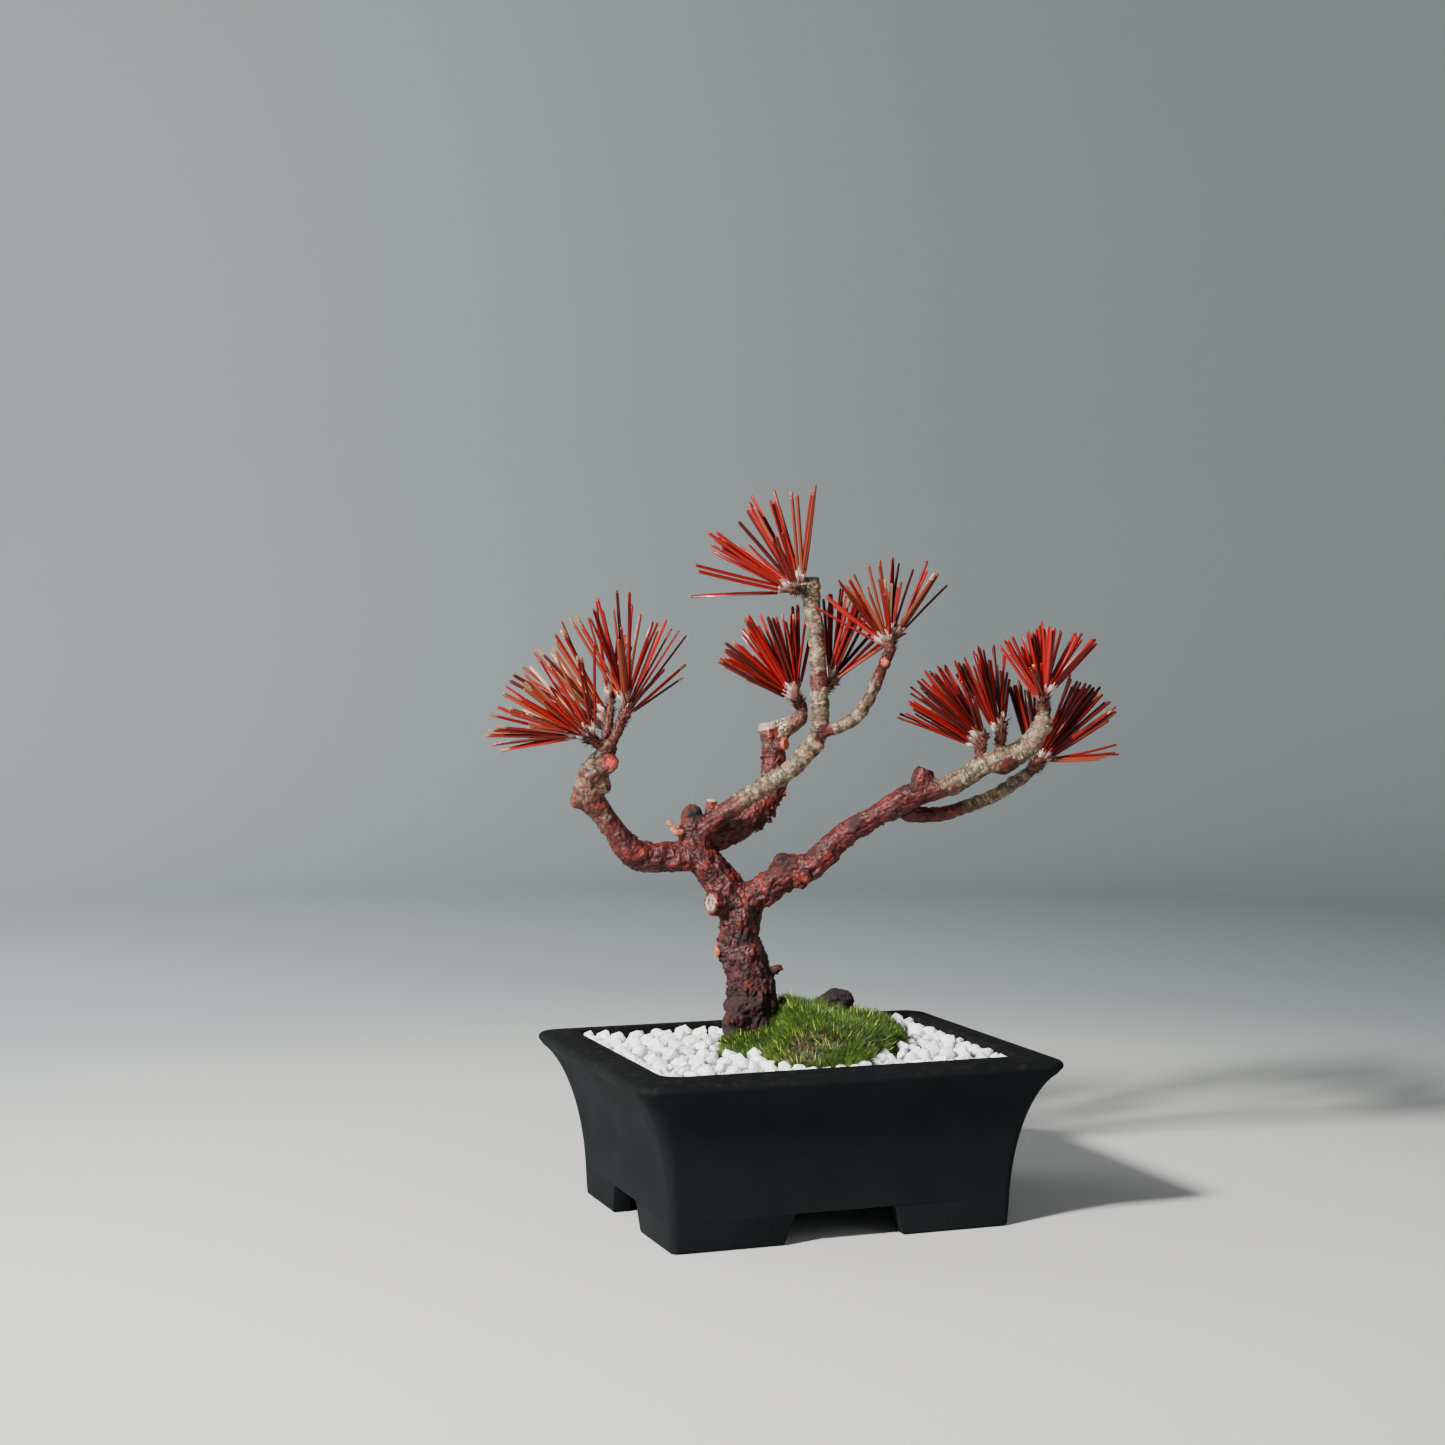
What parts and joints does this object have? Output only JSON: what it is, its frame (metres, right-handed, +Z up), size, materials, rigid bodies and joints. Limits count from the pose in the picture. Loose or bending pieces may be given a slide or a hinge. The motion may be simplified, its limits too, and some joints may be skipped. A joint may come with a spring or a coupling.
{
  "type": "japanese black pine bonsai",
  "caption": "Miniature pine in a shallow black ceramic pot: forked bare trunk and boughs with fans of clipped red needles, white gravel and a moss mound.",
  "frame": {"origin": "middle of the pot's footprint, on the plane its foot stands on", "axes": "+Z up; +X along the pot's long side, to the right as seen from its front; +Y to its back"},
  "size_m": [0.2724, 0.161, 0.3306],
  "materials": {
    "black_glaze": "satin",
    "dark_soil": "matte",
    "white_stone": "matte",
    "green_moss": "matte",
    "red_bark": "matte",
    "grey_bark": "matte",
    "red_needles": "satin"
  },
  "bodies": {
    "root": {"pot": "black_glaze", "soil": "dark_soil", "gravel": "white_stone", "moss": "green_moss", "trunk": "red_bark", "left_bough_lower": "red_bark", "left_bough_upper": "red_bark", "right_bough": "red_bark", "rear_bough": "red_bark", "rear_twig": "red_bark", "surface_root": "red_bark", "front_bough": "grey_bark", "top_branch": "grey_bark", "side_branch": "grey_bark", "upper_right_branch": "grey_bark", "lower_right_branch": "grey_bark", "needles_top": "red_needles", "needles_left_low": "red_needles", "needles_left_high": "red_needles", "needles_left_rear": "red_needles", "needles_middle": "red_needles", "needles_middle_right": "red_needles", "needles_side": "red_needles", "needles_right_inner": "red_needles", "needles_right_middle": "red_needles", "needles_right_tip": "red_needles", "needles_right_low": "red_needles"}
  },
  "joints": []
}
